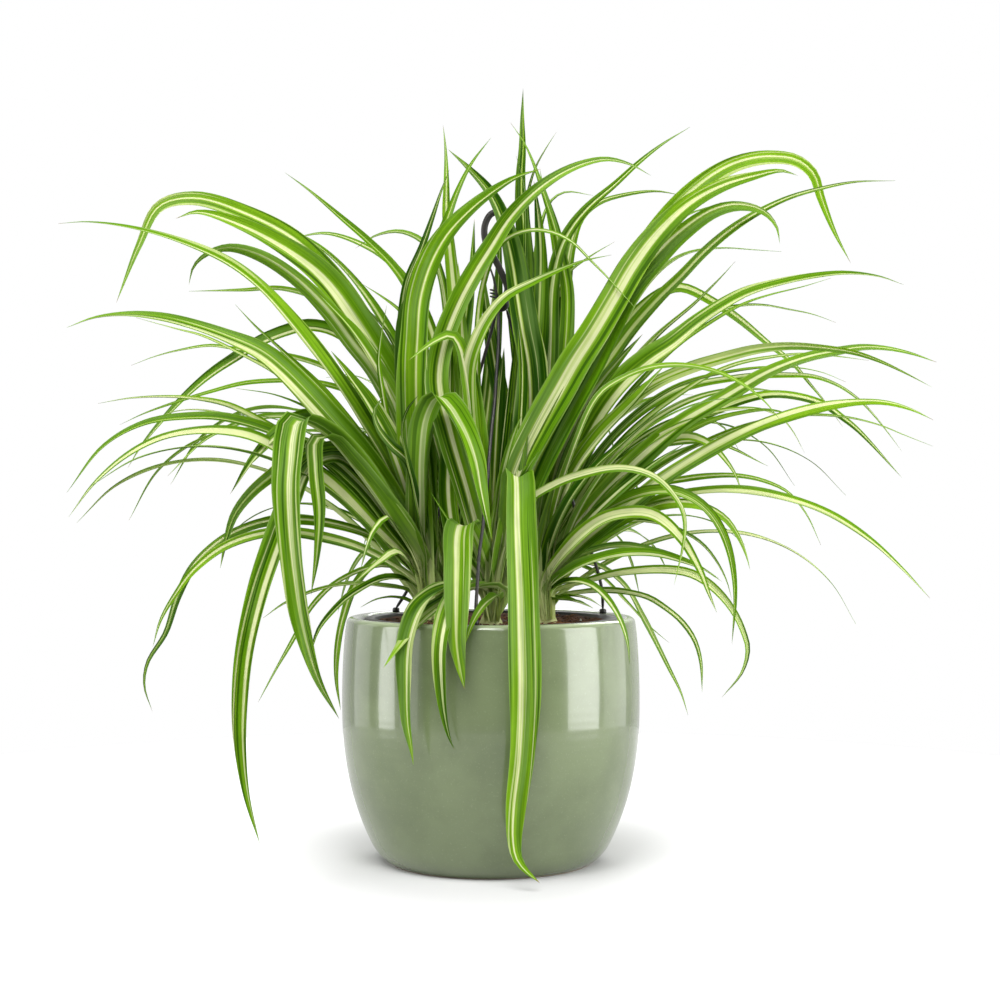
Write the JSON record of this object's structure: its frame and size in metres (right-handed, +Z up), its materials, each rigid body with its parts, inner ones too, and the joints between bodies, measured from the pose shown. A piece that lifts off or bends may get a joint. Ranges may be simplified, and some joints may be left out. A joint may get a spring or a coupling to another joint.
{
  "type": "potted spider plant",
  "caption": "Variegated spider plant with arching strap leaves in a hanging nursery pot, dropped into a round glazed cachepot that stands on a flat base.",
  "frame": {"origin": "centre of the cachepot's foot, on the surface it stands on", "axes": "+Z up along the cachepot's axis, -Y towards the viewer of the picture, +X to the viewer's right"},
  "size_m": [0.5279, 0.3698, 0.4679],
  "materials": {
    "cachepot_glaze": "sage green gloss glaze",
    "pot_plastic": "black moulded plastic, slightly dusty",
    "hanger_plastic": "black moulded plastic, satin",
    "potting_soil": "dark brown peat and coir, matt",
    "leaf": "striped green and cream leaf, satin"
  },
  "bodies": {
    "root": {"cachepot": "cachepot_glaze", "nursery_pot": "pot_plastic", "soil": "potting_soil", "hanger_hook": "hanger_plastic", "hanger_leg_front": "hanger_plastic", "hanger_leg_right": "hanger_plastic", "hanger_leg_left": "hanger_plastic", "crown_left": "leaf", "crown_right": "leaf", "crown_front": "leaf", "crown_back_left": "leaf", "crown_back_right": "leaf"}
  },
  "joints": []
}
